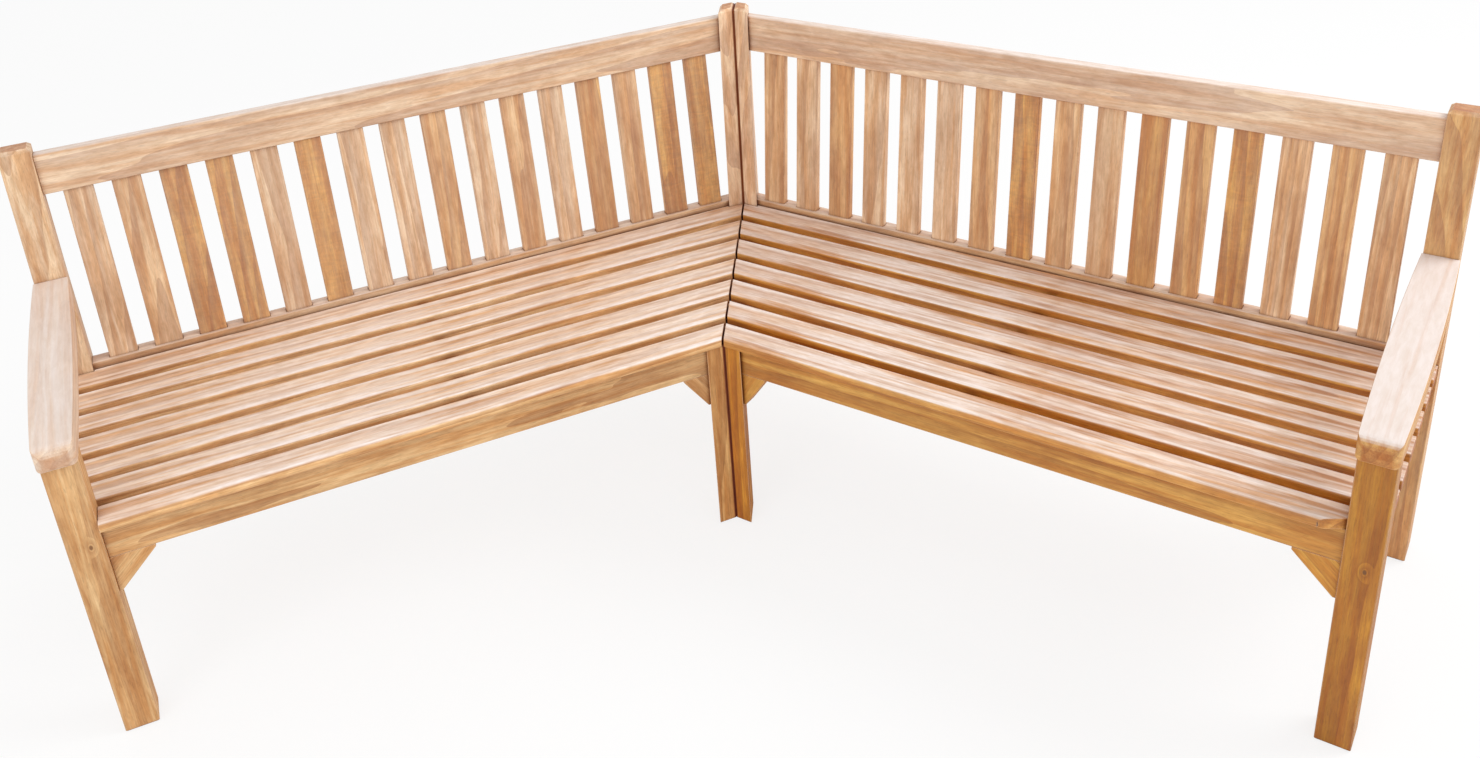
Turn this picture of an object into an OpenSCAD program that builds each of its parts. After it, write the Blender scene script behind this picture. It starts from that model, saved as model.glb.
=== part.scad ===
// Corner bench in solid teak: two slatted bench halves that meet on a mitre
// The halves mirror each other and are bolted together through their corner frames
// Millimetres, +Z up, +Y towards the corner at the back, origin under the middle of the whole

/* [Overall size] */
// Height of the posts
bench_h = 900; // [870:5:960]
// Length of each back, from the corner to the outer face of its end post
back_len = 1470; // [1300:10:1700]
// Inside angle between the two backs
corner_angle = 122; // [116:1:126]
// Depth from the face of the back slats to the face of the front legs
seat_depth = 526; // [505:1:560]
// Height of the seat at its front edge
seat_h = 440; // [405:1:450]

/* [Posts and legs] */
// Width of the end posts and end legs, along the back
post_w = 56; // [50:1:62]
// Depth of the front legs, front to back
leg_d = 56; // [50:1:60]
// How far the posts stand in front of the back slats
post_proud = 18; // [14:1:22]
// Depth of a post at its top
post_top_d = 46; // [44:1:54]
// Height at which the back of a post starts to lean
post_bend_h = 640; // [600:5:700]
// Thickness of the mitred posts, legs and bearers of the corner
corner_t = 32; // [27:1:34]
// Cut edge round the foot of a post or leg
foot_ease = 3; // [2:0.5:5]
// Bevel round the top of a post
post_bevel = 6; // [4:0.5:9]

/* [Back] */
// Lean of the back from upright, in degrees
back_lean = 5; // [4:0.5:9]
// Number of slats in each back
back_slat_count = 16; // [14:1:18]
// Width of a back slat
back_slat_w = 52; // [46:1:54]
// Thickness of a back slat
back_slat_t = 18; // [14:1:20]
// Gap between the corner post and the first back slat, at the seat
first_gap = 11; // [10:1:22]
// Height of the top rail
top_rail_h = 78; // [66:1:90]
// How far the posts stand above the top rail
post_rise = 19; // [14:1:34]
// Thickness of the two back rails
back_rail_t = 33; // [33:1:38]
// How far the back rails stand in front of the slats
rail_proud = 8; // [7:0.5:10]
// Height of the bottom rail above the front edge of the seat
rail_rise = 10; // [6:1:32]
// How far the back slats are let into the rails
slat_let_in = 12; // [8:1:16]

/* [Seat] */
// Number of slats in each seat
seat_slat_count = 7; // [6:1:8]
// Thickness of a seat slat
seat_slat_t = 20; // [18:1:24]
// Gap between two seat slats
seat_gap = 20; // [8:1:24]
// Gap between the bottom rail and the rear seat slat
rear_gap = 2; // [2:0.5:6]
// Clearance round the posts, in the notches of the rear seat slat
notch_fit = 1; // [0.5:0.5:2]
// How far the front slat stands in front of the legs
nose_over = 12; // [8:1:18]
// Radius of the rounded nose of the front slat
nose_r = 9; // [6:0.5:9]
// Radius of the rounded upper edges of a seat slat
slat_round = 5; // [3:0.5:6]
// Hollow of the seat below its front and rear edges
seat_dish = 4; // [2:1:12]
// Fall of the seat from its front edge to its rear edge
seat_fall = 1; // [0:1:12]
// Gap that each half leaves between its seat slats and the mitre
slat_mitre_gap = 1.5; // [1:0.5:3]
// Cut across the outer front corner of the right front slat, along its edge
snipe_w = 38; // [20:1:60]
// The same cut, measured along the end of the slat
snipe_d = 22; // [12:1:30]

/* [Rails under the seat] */
// Height of the apron, the side rails and the bearers under a front slat
rail_h = 62; // [54:1:66]
// Thickness of the apron and of the brackets under it
apron_t = 28; // [24:1:30]
// How far the apron lies behind the face of the legs
apron_set = 8; // [4:1:10]
// Thickness of the side rails and of the bearer at mid length
bearer_t = 28; // [24:1:32]
// How far the side rails lie inside the outer face of the end legs
side_set = 8; // [4:1:12]
// Place of the mid bearer, along the back
mid_bearer_x = 780; // [720:5:860]
// Length of a bracket at an end leg, along the rail above it
bracket_w = 72; // [54:1:90]
// Length of a bracket at a corner leg, along the apron
corner_bracket_w = 52; // [40:1:70]
// Drop of a bracket down the leg beside it
bracket_h = 71; // [50:1:80]
// Flat at each tip of a bracket
bracket_tip = 5; // [3:0.5:8]

/* [Arms] */
// Height of an arm where it meets its post
arm_h = 642; // [620:1:670]
// Fall of an arm from its post to its nose
arm_fall = 36; // [20:1:46]
// Thickness of an arm
arm_t = 40; // [34:1:44]
// How far the nose of an arm stands in front of the leg
arm_over = 24; // [16:1:34]
// Swell of the outer edge of an arm
arm_swell_out = 6; // [4:1:14]
// Swell of the inner edge of an arm
arm_swell_in = 5; // [3:1:10]
// Radius of the corners of the nose, seen from above
arm_corner_r = 20; // [12:1:24]
// Radius of the upper edge of the nose, seen from the side
arm_top_r = 24; // [16:1:26]
// Radius of the lower edge of the nose, seen from the side
arm_low_r = 8; // [4:1:10]

/* [Joints] */
// Thickness of the tenons
tenon_t = 12; // [9:1:14]
// Length of the tenons in the end posts and end legs
tenon_len = 24; // [16:1:28]
// Length of the tenons in the corner posts and corner legs
corner_tenon_len = 16; // [12:1:18]
// Length of the tenons at the ends of the side rails and bearers
bearer_tenon_len = 16; // [10:1:17]
// Height of the tenons on the apron, side rails and bearers
low_tenon_h = 28; // [22:1:32]
// Shoulder above and below a tenon of the back rails
rail_shoulder = 12; // [10:1:14]
// Shoulder under the lowest tenons
low_shoulder = 10; // [8:1:12]
// Clearance round a tenon or a slat in its mortise
fit = 0.3; // [0.2:0.1:0.5]
// Clearance past the end of a tenon
end_fit = 1; // [0.5:0.5:2]
// Gap between the two corner frames on the mitre
frame_gap = 0.3; // [0.2:0.1:0.6]

/* [Fasteners] */
// Diameter of the corner bolts
bolt_d = 8; // [6:1:10]
// Clearance round a bolt in its hole, on the radius
bolt_fit = 0.5; // [0.3:0.1:0.8]
// Height of the low bolt through the two corner posts
low_bolt_h = 240; // [200:5:280]
// Diameter of the shank of a seat screw
screw_d = 4; // [3.5:0.5:5]
// Length of a seat screw under its head
screw_len = 50; // [46:1:54]
// How far a seat screw reaches into its slat
screw_bite = 13; // [9:1:15]
// Number of screws that hold the front slat to the apron
apron_screw_count = 4; // [3:1:6]

/* [Hidden] */
$fn = 64;
arc_steps = 8;
SIDES = ["right", "left"];
HALF_PARTS = [
    "end_post", "end_leg", "arm", "side_rail", "side_bracket",
    "corner_post", "corner_leg", "corner_bearer", "mid_bearer", "front_apron",
    "apron_end_bracket", "apron_corner_bracket",
    "back_bottom_rail", "back_top_rail", "seat_screws"
];
back_group_count = 4;

// Timber colours, paler where the wood faces up
timber = "#C99A6C";
timber_pale = "#DDB892";
timber_warm = "#C08B58";
steel = "#B9BBBD";

// Each half is drawn square, with x along its back, y backwards and z up
mitre = 90 - corner_angle / 2;
far = back_len + seat_depth;
post_x0 = back_len - post_w;
post_mid_x = back_len - post_w / 2;
leg_front_y = -seat_depth;
leg_back_y = leg_front_y + leg_d;
leg_mid_y = leg_front_y + leg_d / 2;
frame_x0 = frame_gap / 2;
mitre_foot_ease = foot_ease / 2;

// Heights shared by the rails and bearers under the seat
low_z = seat_h - seat_slat_t - rail_h;
pivot_z = seat_h + rail_rise;
low_tenon_z0 = low_z + low_shoulder;
low_tenon_z1 = low_tenon_z0 + low_tenon_h;

// The face of the back slats leans from the top of the bottom rail
function lean_y(z) = max(0, z - pivot_z) * tan(back_lean);
function post_front_y(z) = lean_y(z) - post_proud;
function post_back_y(z) = lean_y(max(z, post_bend_h)) - post_proud + post_top_d;
top_rail_z1 = (bench_h - post_rise - pivot_z) / cos(back_lean);
top_rail_z0 = top_rail_z1 - top_rail_h;

// Back slats share out the rest of the back in equal gaps
first_slat_x = (corner_t + post_proud * sin(mitre)) / cos(mitre) + first_gap;
back_slat_run = post_x0 - first_slat_x;
back_slat_gap = (back_slat_run - back_slat_count * back_slat_w) / back_slat_count;
back_slat_pitch = back_slat_w + back_slat_gap;
back_group_size = ceil(back_slat_count / back_group_count);
function back_slat_x(i) = first_slat_x + i * back_slat_pitch;

// Seat slats share out the depth, on a shallow curve; slat 0 is the rear one
seat_rear_y = -rail_proud - rear_gap;
seat_front_y = leg_front_y - nose_over;
seat_run = seat_rear_y - seat_front_y;
seat_slat_w = (seat_run - (seat_slat_count - 1) * seat_gap) / seat_slat_count;
front_slat = seat_slat_count - 1;
function slat_y(i) = seat_rear_y - seat_slat_w / 2 - i * (seat_slat_w + seat_gap);
function slat_u(i) = (2 * slat_y(i) - seat_rear_y - seat_front_y) / seat_run;
function slat_z(i) =
    seat_h - seat_dish * (1 - pow(slat_u(i), 2)) - seat_fall * (1 + slat_u(i)) / 2;
function slat_tilt(i) = atan((4 * seat_dish * slat_u(i) - seat_fall) / seat_run);
function under_z(i, y) =
    slat_z(i) + (y - slat_y(i)) * tan(slat_tilt(i)) - seat_slat_t / cos(slat_tilt(i));
// End of the underside of slat i, at its rear edge for side 1 and its front edge for -1
function under_point(i, side) = [
    slat_y(i) + side * seat_slat_w / 2 * cos(slat_tilt(i)) + seat_slat_t * sin(slat_tilt(i)),
    slat_z(i) + side * seat_slat_w / 2 * sin(slat_tilt(i)) - seat_slat_t * cos(slat_tilt(i))
];
slat_low_arris = 1.5;
rail_arris = 3;
slat_end_set = 2;
leg_clear = 2;

// Rails under the seat
apron_front_y = leg_front_y + apron_set;
apron_back_y = apron_front_y + apron_t;
apron_mid_y = (apron_front_y + apron_back_y) / 2;
side_x1 = back_len - side_set;
side_x0 = side_x1 - bearer_t;
side_mid_x = (side_x0 + side_x1) / 2;
corner_mid = corner_t / 2;
// The x of a point that lies t from the mitre plane, at a given y
function mitre_x(t, y) = (t - y * sin(mitre)) / cos(mitre);

// Arms: the top line falls evenly from the post to the nose
arm_nose_y = leg_front_y - arm_over;
arm_slope = atan(arm_fall / -arm_nose_y);
function arm_top_z(y) = arm_h + y * tan(arm_slope);
function arm_low_z(y) = arm_top_z(y) - arm_t / cos(arm_slope);
arm_side_ease = 2;
// Each edge is an arc about a point at mid length, and cuts the round corners of the nose
arm_mid_y = arm_nose_y / 2;
arm_edge_y = arm_nose_y + arm_corner_r;
// The round corners stand this far out of the edges, so that the two cross cleanly
arm_round_out = 0.2;
function arc_r(swell) = (pow(arm_mid_y, 2) / swell + swell) / 2;
function corner_reach(swell) =
    sqrt(pow(arc_r(swell) - arm_corner_r, 2) - pow(arm_edge_y - arm_mid_y, 2)) - arc_r(swell)
    + swell + arm_side_ease + post_w / 2 + arm_round_out;
arm_tenon_len = 20;
arm_tenon_w = 16;
arm_shoulder = 10;
leg_tenon_w = 18;
leg_tenon_d = 30;
leg_tenon_h = 22;

// Fasteners
washer_t = 1.6;
washer_d = 2 * bolt_d;
head_t = 0.65 * bolt_d;
head_d = 1.9 * bolt_d;
thread_over = 5;
bolt_hole_r = bolt_d / 2 + bolt_fit;
post_mid_y = (post_back_y(0) - post_proud) / 2;
mid_bolt_z = low_z + rail_h / 2;
// The bolt through the two corner legs hides behind the brackets, in the bare rear of the legs
leg_bolt_y = (apron_back_y + leg_back_y) / 2 - corner_mid * sin(mitre);
// Each bolt: its y in the half's own axes, at the middle of the corner frame, and its height
bolt_spots = [
    [post_mid_y, low_bolt_h],
    [(slat_y(1) + slat_y(2)) / 2, mid_bolt_z],
    [(slat_y(front_slat - 2) + slat_y(front_slat - 1)) / 2, mid_bolt_z],
    [leg_bolt_y, low_z - bracket_h / 2]
];
function along_mitre(y) = (y - corner_mid * sin(mitre)) / cos(mitre);
screw_head_d = 2 * screw_d;
screw_head_t = 2.5;
screw_fit = 0.3;
apron_screw_inset = 120;
apron_screw_x0 = mitre_x(corner_t, apron_front_y) + apron_screw_inset;
apron_screw_pitch = (post_x0 - apron_screw_inset - apron_screw_x0) / (apron_screw_count - 1);
// Each seat screw: its slat, its x and its y
function bearer_x(b, y) = b == 0 ? mitre_x(corner_mid, y) : b == 1 ? mid_bearer_x : side_mid_x;
screw_spots = concat(
    [for (b = [0:2], i = [0:front_slat - 1]) [i, bearer_x(b, slat_y(i)), slat_y(i)]],
    [for (k = [0:apron_screw_count - 1])
        [front_slat, apron_screw_x0 + k * apron_screw_pitch, apron_mid_y]]
);

// The origin lies under the middle of the whole: its rear is the top of the corner posts,
// and its front is the round nose of the arms
rear_y = (post_back_y(bench_h - post_bevel) - frame_x0 * sin(mitre)) / cos(mitre);
nose_x = post_mid_x + corner_reach(arm_swell_out);
front_y = arm_edge_y * cos(mitre) - nose_x * sin(mitre) - arm_corner_r;
shift_y = -(rear_y + front_y) / 2;

module half(side) {
    translate([0, shift_y, 0])
        if (side == "left") mirror([1, 0, 0]) rotate([0, 0, -mitre]) children();
        else rotate([0, 0, -mitre]) children();
}

// Axes along and across the mitre, seen from a half: x is the distance from the mitre plane
module corner_axes() {
    rotate([0, 0, mitre]) children();
}

// Axes of the leaning back: z runs up the slats and y goes into them
module leaning() {
    translate([0, 0, pivot_z]) rotate([-back_lean, 0, 0]) children();
}

// Points along an arc from angle a0 to angle a1
function arc(middle, r, a0, a1) =
    [for (k = [0:arc_steps]) let (a = a0 + (a1 - a0) * k / arc_steps) middle + r * [cos(a), sin(a)]];

module box(x0, x1, y0, y1, z0, z1) {
    translate([x0, y0, z0]) cube([x1 - x0, y1 - y0, z1 - z0]);
}

// An outline in y and z, drawn out along x
module along_x(x0, x1) {
    translate([x0, 0, 0]) rotate([90, 0, 90]) linear_extrude(x1 - x0) children();
}

// An outline in x and z, drawn out along y
module along_y(y0, y1) {
    translate([0, y1, 0]) rotate([90, 0, 0]) linear_extrude(y1 - y0) children();
}

// A rectangle with cut corners: low at its foot and top at its head
module eased_rect(x0, x1, z0, z1, low, top) {
    polygon([
        [x0 + low, z0], [x1 - low, z0], [x1, z0 + low], [x1, z1 - top],
        [x1 - top, z1], [x0 + top, z1], [x0, z1 - top], [x0, z0 + low]
    ]);
}

// What lies nearer to the mitre plane than t is cut off
module cut_at_mitre(t) {
    difference() {
        children();
        corner_axes() box(-far, t, -far, far, -far, far);
    }
}

// The space under the seat slats, up to the flats that they rest on
module seat_bed() {
    along_x(0, far) polygon(concat(
        [[far, low_z - far], [far, under_point(0, 1)[1]]],
        [for (i = [0:front_slat], side = [1, -1]) under_point(i, side)],
        [[-far, under_point(front_slat, -1)[1]], [-far, low_z - far]]
    ));
}

module under_arm() {
    along_x(post_x0 - post_w, back_len + post_w)
        polygon([[0, 0], [0, arm_low_z(0)], [arm_nose_y, arm_low_z(arm_nose_y)], [arm_nose_y, 0]]);
}

module post_outline() {
    polygon([
        [-post_proud + foot_ease, 0],
        [-post_proud, foot_ease],
        [-post_proud, pivot_z],
        [post_front_y(bench_h - post_bevel), bench_h - post_bevel],
        [post_front_y(bench_h) + post_bevel, bench_h],
        [post_back_y(bench_h) - post_bevel, bench_h],
        [post_back_y(bench_h - post_bevel), bench_h - post_bevel],
        [post_back_y(0), post_bend_h],
        [post_back_y(0), foot_ease],
        [post_back_y(0) - foot_ease, 0]
    ]);
}

// Tenons and what is let in: g is the clearance round each and e the clearance past its end
module top_rail_tenons(g, e) {
    tenon_y0 = (back_rail_t - tenon_t) / 2 - rail_proud;
    cut_at_mitre(corner_t - corner_tenon_len - e) leaning()
        box(-post_w, post_x0 + tenon_len + e, tenon_y0 - g, tenon_y0 + tenon_t + g,
            top_rail_z0 + rail_shoulder - g, top_rail_z1 - rail_shoulder + g);
}

module bottom_rail_tenons(g, e) {
    tenon_y0 = (back_rail_t - tenon_t) / 2 - rail_proud;
    cut_at_mitre(corner_t - corner_tenon_len - e)
        box(-post_w, post_x0 + tenon_len + e, tenon_y0 - g, tenon_y0 + tenon_t + g,
            low_tenon_z1 - g, pivot_z - rail_shoulder + g);
}

module apron_tenons(g, e) {
    cut_at_mitre(corner_t - corner_tenon_len - e)
        box(0, post_x0 + tenon_len + e, apron_mid_y - tenon_t / 2 - g,
            apron_mid_y + tenon_t / 2 + g, low_tenon_z0 - g, low_tenon_z1 + g);
}

module side_rail_tenons(g, e) {
    box(side_mid_x - tenon_t / 2 - g, side_mid_x + tenon_t / 2 + g,
        leg_back_y - bearer_tenon_len - e, -post_proud + bearer_tenon_len + e,
        low_tenon_z0 - g, low_tenon_z1 + g);
}

module corner_bearer_tenons(g, e) {
    intersection() {
        corner_axes() box(corner_mid - tenon_t / 2 - g, corner_mid + tenon_t / 2 + g,
            -far, far, low_tenon_z0 - g, low_tenon_z1 + g);
        box(-far, far, leg_back_y - bearer_tenon_len - e, -post_proud + bearer_tenon_len + e,
            0, bench_h);
    }
}

module mid_bearer_tenons(g, e) {
    box(mid_bearer_x - tenon_t / 2 - g, mid_bearer_x + tenon_t / 2 + g,
        apron_back_y - bearer_tenon_len - e, -rail_proud + bearer_tenon_len + e,
        low_tenon_z0 - g, low_tenon_z1 + g);
}

module arm_tenon(g, e) {
    root_y = post_front_y(arm_h) - arm_shoulder;
    tip_y = post_front_y(arm_h) + arm_tenon_len + e;
    along_x(post_mid_x - arm_tenon_w / 2 - g, post_mid_x + arm_tenon_w / 2 + g) polygon([
        [root_y, arm_low_z(root_y) + arm_shoulder - g],
        [tip_y, arm_low_z(tip_y) + arm_shoulder - g],
        [tip_y, arm_top_z(tip_y) - arm_shoulder + g],
        [root_y, arm_top_z(root_y) - arm_shoulder + g]
    ]);
}

module leg_tenon(g, e) {
    box(post_mid_x - leg_tenon_w / 2 - g, post_mid_x + leg_tenon_w / 2 + g,
        leg_mid_y - leg_tenon_d / 2 - g, leg_mid_y + leg_tenon_d / 2 + g,
        arm_low_z(leg_back_y) - leg_tenon_h, arm_low_z(leg_mid_y) + leg_tenon_h + e);
}

module back_slat(i) {
    leaning() translate([0, 0, -slat_let_in]) linear_extrude(top_rail_z0 + 2 * slat_let_in)
            eased_rect(back_slat_x(i), back_slat_x(i) + back_slat_w,
                0, back_slat_t, slat_low_arris, slat_low_arris);
}

module back_slat_mortises() {
    for (i = [0:back_slat_count - 1])
        leaning() box(back_slat_x(i) - fit, back_slat_x(i) + back_slat_w + fit,
            -fit, back_slat_t + fit, -slat_let_in - end_fit,
            top_rail_z0 + slat_let_in + end_fit);
}

// Holes for the seat screws: a head hole from below, a shank hole, and a pilot in the slat
module screw_holes() {
    for (spot = screw_spots) {
        seat_z = under_z(spot[0], spot[2]) + screw_bite - screw_len;
        translate([spot[1], spot[2], low_z - 1])
            cylinder(d = screw_head_d + 2 * screw_fit, h = seat_z - low_z + 1);
        translate([spot[1], spot[2], seat_z - 1])
            cylinder(d = screw_d + 2 * screw_fit, h = screw_len + end_fit + 1);
    }
}

module bolt_holes() {
    corner_axes() for (spot = bolt_spots)
        translate([-1, along_mitre(spot[0]), spot[1]]) rotate([0, 90, 0])
            cylinder(r = bolt_hole_r, h = corner_t + 2);
}

module end_post() {
    color(timber) difference() {
        intersection() {
            along_x(post_x0, back_len) post_outline();
            along_y(-far, far)
                eased_rect(post_x0, back_len, 0, bench_h, foot_ease, post_bevel);
        }
        top_rail_tenons(fit, end_fit);
        bottom_rail_tenons(fit, end_fit);
        side_rail_tenons(fit, end_fit);
        arm_tenon(fit, end_fit);
    }
}

module end_leg() {
    color(timber) {
        difference() {
            intersection() {
                along_x(post_x0, back_len)
                    eased_rect(leg_front_y, leg_back_y, 0, bench_h, foot_ease, 0);
                along_y(-far, far) eased_rect(post_x0, back_len, 0, bench_h, foot_ease, 0);
                under_arm();
            }
            apron_tenons(fit, end_fit);
            side_rail_tenons(fit, end_fit);
        }
        leg_tenon(0, 0);
    }
}

// Seen from above, both edges of an arm are long arcs, and its nose has round corners
module arm_plan() {
    out_x = corner_reach(arm_swell_out);
    in_x = -corner_reach(arm_swell_in);
    arm_body_y = arm_edge_y + arm_round_out;
    translate([post_mid_x, 0]) intersection() {
        translate([post_w / 2 + arm_side_ease + arm_swell_out - arc_r(arm_swell_out), arm_mid_y])
            circle(arc_r(arm_swell_out), $fn = 720);
        translate([arc_r(arm_swell_in) - post_w / 2 - arm_side_ease - arm_swell_in, arm_mid_y])
            circle(arc_r(arm_swell_in), $fn = 720);
        union() {
            translate([out_x, arm_edge_y]) circle(arm_corner_r);
            translate([in_x, arm_edge_y]) circle(arm_corner_r);
            polygon([
                [in_x, arm_nose_y], [out_x, arm_nose_y], [out_x, arm_body_y],
                [2 * post_w, arm_body_y], [2 * post_w, post_w], [-2 * post_w, post_w],
                [-2 * post_w, arm_body_y], [in_x, arm_body_y]
            ]);
        }
    }
}

// Seen from the side, an arm is a straight board with a rounded nose
module arm_side() {
    top_y = arm_nose_y + arm_top_r;
    low_y = arm_nose_y + arm_low_r;
    polygon(concat(
        [[post_w, arm_low_z(post_w)], [post_w, arm_top_z(post_w)]],
        arc([top_y, arm_top_z(top_y) - arm_top_r / cos(arm_slope)], arm_top_r,
            90 + arm_slope, 180),
        arc([low_y, arm_low_z(low_y) + arm_low_r / cos(arm_slope)], arm_low_r,
            180, 270 + arm_slope)
    ));
}

module arm() {
    color(timber_pale) {
        difference() {
            intersection() {
                linear_extrude(bench_h) arm_plan();
                along_x(post_x0 - post_w, back_len + post_w) arm_side();
            }
            along_x(post_x0 - post_w, back_len + post_w) polygon([
                [-post_proud, 0], [-post_proud, pivot_z],
                [post_front_y(bench_h), bench_h], [far, bench_h], [far, 0]
            ]);
            leg_tenon(fit, end_fit);
        }
        arm_tenon(0, 0);
    }
}

module side_rail() {
    color(timber_warm) difference() {
        union() {
            intersection() {
                box(side_x0, side_x1, leg_back_y, -post_proud, low_z, seat_h);
                seat_bed();
            }
            side_rail_tenons(0, 0);
        }
        screw_holes();
    }
}

module side_bracket() {
    color(timber_warm) along_x(side_x0, side_x1) polygon([
        [leg_back_y, low_z], [leg_back_y + bracket_w, low_z],
        [leg_back_y + bracket_w, low_z - bracket_tip],
        [leg_back_y + bracket_tip, low_z - bracket_h], [leg_back_y, low_z - bracket_h]
    ]);
}

module corner_post() {
    color(timber) difference() {
        intersection() {
            along_x(-far, far) post_outline();
            corner_axes() along_y(-far, far)
                eased_rect(frame_x0, corner_t, 0, bench_h, mitre_foot_ease, post_bevel);
        }
        top_rail_tenons(fit, end_fit);
        bottom_rail_tenons(fit, end_fit);
        corner_bearer_tenons(fit, end_fit);
        bolt_holes();
    }
}

module corner_leg() {
    color(timber) difference() {
        intersection() {
            along_x(0, far) eased_rect(leg_front_y, leg_back_y, 0, bench_h, foot_ease, 0);
            corner_axes() along_y(-far, far)
                eased_rect(frame_x0, corner_t, 0, bench_h, mitre_foot_ease, 0);
            seat_bed();
        }
        apron_tenons(fit, end_fit);
        corner_bearer_tenons(fit, end_fit);
        bolt_holes();
    }
}

module corner_bearer() {
    color(timber_warm) difference() {
        union() {
            intersection() {
                corner_axes() box(frame_x0, corner_t, -far, far, low_z, seat_h);
                box(0, far, leg_back_y, -post_proud, low_z, seat_h);
                seat_bed();
            }
            corner_bearer_tenons(0, 0);
        }
        screw_holes();
        bolt_holes();
    }
}

module mid_bearer() {
    color(timber_warm) difference() {
        union() {
            intersection() {
                box(mid_bearer_x - bearer_t / 2, mid_bearer_x + bearer_t / 2,
                    apron_back_y, -rail_proud, low_z, seat_h);
                seat_bed();
            }
            mid_bearer_tenons(0, 0);
        }
        screw_holes();
    }
}

module front_apron() {
    color(timber) difference() {
        union() {
            cut_at_mitre(corner_t) intersection() {
                box(0, post_x0, apron_front_y, apron_back_y, low_z, seat_h);
                seat_bed();
            }
            apron_tenons(0, 0);
        }
        mid_bearer_tenons(fit, end_fit);
        screw_holes();
    }
}

module apron_end_bracket() {
    color(timber) along_y(apron_front_y, apron_back_y) polygon([
        [post_x0, low_z], [post_x0 - bracket_w, low_z],
        [post_x0 - bracket_w, low_z - bracket_tip],
        [post_x0 - bracket_tip, low_z - bracket_h], [post_x0, low_z - bracket_h]
    ]);
}

module apron_corner_bracket() {
    leg_x = mitre_x(corner_t, apron_front_y);
    color(timber) cut_at_mitre(corner_t) along_y(apron_front_y, apron_back_y) polygon([
        [0, low_z], [leg_x + corner_bracket_w, low_z],
        [leg_x + corner_bracket_w, low_z - bracket_tip],
        [leg_x + bracket_tip, low_z - bracket_h], [0, low_z - bracket_h]
    ]);
}

module back_bottom_rail() {
    color(timber) difference() {
        union() {
            cut_at_mitre(corner_t)
                box(-post_w, post_x0, -rail_proud, back_rail_t - rail_proud, low_z, pivot_z);
            bottom_rail_tenons(0, 0);
        }
        back_slat_mortises();
        mid_bearer_tenons(fit, end_fit);
    }
}

module back_top_rail() {
    color(timber_pale) difference() {
        union() {
            cut_at_mitre(corner_t) leaning() along_x(-post_w, post_x0)
                eased_rect(-rail_proud, back_rail_t - rail_proud, top_rail_z0, top_rail_z1,
                    slat_low_arris, rail_arris);
            top_rail_tenons(0, 0);
        }
        back_slat_mortises();
    }
}

module back_slats(group) {
    first = (group - 1) * back_group_size;
    last = min(group * back_group_size, back_slat_count) - 1;
    color(timber_warm) for (i = [first:last]) back_slat(i);
}

// A seat slat has round upper edges, and the front one has a round nose
module seat_slat_outline(i) {
    half_w = seat_slat_w / 2;
    translate([half_w - slat_round, -slat_round]) circle(slat_round);
    if (i < front_slat) {
        translate([slat_round - half_w, -slat_round]) circle(slat_round);
        eased_rect(-half_w, half_w, -seat_slat_t, 0, slat_low_arris, slat_round);
    } else {
        polygon([
            [nose_r - half_w, -seat_slat_t], [half_w, -seat_slat_t],
            [half_w, -slat_round], [half_w - slat_round, 0], [nose_r - half_w, 0],
            [-half_w, -nose_r], [-half_w, nose_r - seat_slat_t]
        ]);
        translate([nose_r - half_w, -nose_r]) circle(nose_r);
        translate([nose_r - half_w, nose_r - seat_slat_t]) circle(nose_r);
    }
}

// Room for the posts in the rear slat, which reaches past them to the bottom rail
module post_notches() {
    notch_y = -post_proud - notch_fit;
    box(post_x0 - notch_fit, far, notch_y, far, 0, bench_h);
    intersection() {
        corner_axes() box(-far, corner_t + notch_fit, -far, far, 0, bench_h);
        box(-far, far, notch_y, far, 0, bench_h);
    }
}

module seat_slat(i, side) {
    end_x = i == front_slat ? post_x0 - fit : back_len - slat_end_set;
    color(timber_pale) difference() {
        cut_at_mitre(slat_mitre_gap) translate([0, slat_y(i), slat_z(i)])
            rotate([slat_tilt(i), 0, 0]) along_x(0, end_x) seat_slat_outline(i);
        if (i == 0) post_notches();
        if (i < front_slat)
            box(post_x0 - leg_clear, far, leg_front_y - far, leg_back_y + leg_clear, 0, bench_h);
        if (i == front_slat && side == "right")
            linear_extrude(bench_h) polygon([
                [end_x - snipe_w, seat_front_y - 1], [end_x + 1, seat_front_y - 1],
                [end_x + 1, seat_front_y + snipe_d], [end_x, seat_front_y + snipe_d],
                [end_x - snipe_w, seat_front_y]
            ]);
        screw_holes();
    }
}

module seat_screws() {
    color(steel) for (spot = screw_spots) {
        seat_z = under_z(spot[0], spot[2]) + screw_bite - screw_len;
        translate([spot[1], spot[2], seat_z]) {
            cylinder(d = screw_d, h = screw_len);
            translate([0, 0, -screw_head_t]) cylinder(d = screw_head_d, h = screw_head_t);
        }
    }
}

// Draws its children at each corner bolt, with x along the bolt and x = 0 on the mitre
module at_bolts() {
    translate([0, shift_y, 0]) for (spot = bolt_spots)
        translate([0, along_mitre(spot[0]), spot[1]]) rotate([0, 90, 0]) children();
}

module corner_bolts() {
    grip = corner_t + washer_t;
    color(steel) at_bolts() {
        translate([0, 0, -grip]) cylinder(d = bolt_d, h = 2 * grip + head_t + thread_over);
        translate([0, 0, -grip - head_t]) cylinder(d = head_d, h = head_t, $fn = 6);
    }
}

module corner_washers() {
    color(steel) at_bolts() for (face = [-corner_t - washer_t, corner_t])
        translate([0, 0, face]) difference() {
            cylinder(d = washer_d, h = washer_t);
            translate([0, 0, -1]) cylinder(r = bolt_hole_r, h = washer_t + 2);
        }
}

module corner_nuts() {
    color(steel) at_bolts() translate([0, 0, corner_t + washer_t]) difference() {
        cylinder(d = head_d, h = head_t, $fn = 6);
        translate([0, 0, -1]) cylinder(d = bolt_d + 2 * screw_fit, h = head_t + 2);
    }
}

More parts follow.
